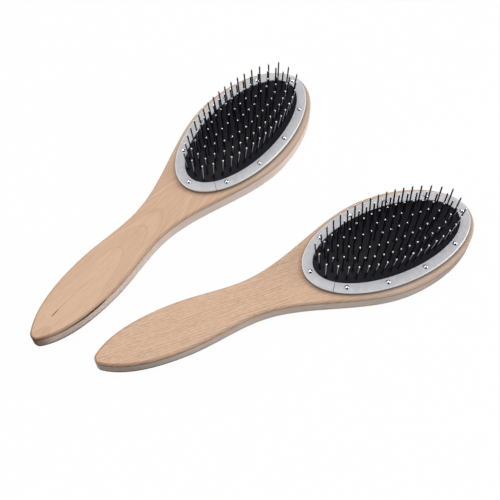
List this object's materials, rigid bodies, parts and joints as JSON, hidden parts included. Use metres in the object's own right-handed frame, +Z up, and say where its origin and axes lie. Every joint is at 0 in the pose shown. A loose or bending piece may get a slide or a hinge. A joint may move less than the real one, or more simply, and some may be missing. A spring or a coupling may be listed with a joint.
{
  "type": "hand carders",
  "caption": "Wooden paddle hand carders lying face up: oval heads with domed rubber cushions full of round-ended wire pins, each clamped over an air chamber by a nailed metal ring.",
  "frame": {"origin": "middle of the pair's plan, on the table", "axes": "+Z up, pins pointing up; +X to the right along the pair's longest extent; +Y away from the front, towards the first carder's head"},
  "size_m": [0.2536, 0.2012, 0.0371],
  "materials": {
    "wood": "satin, clear coated birch",
    "rubber": "smooth matt black",
    "ring_metal": "satin, lightly brushed",
    "nail_chrome": "polished",
    "pin_steel": "drawn wire, polished round ends"
  },
  "bodies": {
    "carder_a": {"back_board_a": "wood", "face_board_a": "wood", "rubber_cushion_a": "rubber", "clamp_ring_a": "ring_metal", "ring_nails_a": "nail_chrome"},
    "centre_row_a": {"centre_pins_a": "pin_steel"},
    "third_row_a": {"third_pins_a": "pin_steel"},
    "second_row_a": {"second_pins_a": "pin_steel"},
    "outer_row_a": {"outer_pins_a": "pin_steel"},
    "carder_b": {"back_board_b": "wood", "face_board_b": "wood", "rubber_cushion_b": "rubber", "clamp_ring_b": "ring_metal", "ring_nails_b": "nail_chrome"},
    "centre_row_b": {"centre_pins_b": "pin_steel"},
    "third_row_b": {"third_pins_b": "pin_steel"},
    "second_row_b": {"second_pins_b": "pin_steel"},
    "outer_row_b": {"outer_pins_b": "pin_steel"}
  },
  "joints": [
    {"name": "lift_b", "type": "slide", "parent": "carder_a", "child": "carder_b", "axis": [0, 0, 1], "range_m": [0, 0.12]},
    {"name": "press_a", "type": "slide", "parent": "carder_a", "child": "centre_row_a", "axis": [0, 0, -1], "range_m": [0, 0.003], "stiffness_N_per_m": 2500, "deforming": ["rubber_cushion_a"]},
    {"name": "third_row_press_a", "type": "slide", "parent": "carder_a", "child": "third_row_a", "axis": [0, 0, -1], "range_m": [0, 0.00244]},
    {"name": "second_row_press_a", "type": "slide", "parent": "carder_a", "child": "second_row_a", "axis": [0, 0, -1], "range_m": [0, 0.0016]},
    {"name": "outer_row_press_a", "type": "slide", "parent": "carder_a", "child": "outer_row_a", "axis": [0, 0, -1], "range_m": [0, 0.00079]},
    {"name": "press_b", "type": "slide", "parent": "carder_b", "child": "centre_row_b", "axis": [0, 0, -1], "range_m": [0, 0.003], "stiffness_N_per_m": 2500, "deforming": ["rubber_cushion_b"]},
    {"name": "third_row_press_b", "type": "slide", "parent": "carder_b", "child": "third_row_b", "axis": [0, 0, -1], "range_m": [0, 0.00244]},
    {"name": "second_row_press_b", "type": "slide", "parent": "carder_b", "child": "second_row_b", "axis": [0, 0, -1], "range_m": [0, 0.0016]},
    {"name": "outer_row_press_b", "type": "slide", "parent": "carder_b", "child": "outer_row_b", "axis": [0, 0, -1], "range_m": [0, 0.00079]}
  ],
  "couplings": [
    {"joint": "third_row_press_a", "follows": "press_a", "ratio": 0.81},
    {"joint": "second_row_press_a", "follows": "press_a", "ratio": 0.53},
    {"joint": "outer_row_press_a", "follows": "press_a", "ratio": 0.26},
    {"joint": "third_row_press_b", "follows": "press_b", "ratio": 0.81},
    {"joint": "second_row_press_b", "follows": "press_b", "ratio": 0.53},
    {"joint": "outer_row_press_b", "follows": "press_b", "ratio": 0.26}
  ]
}
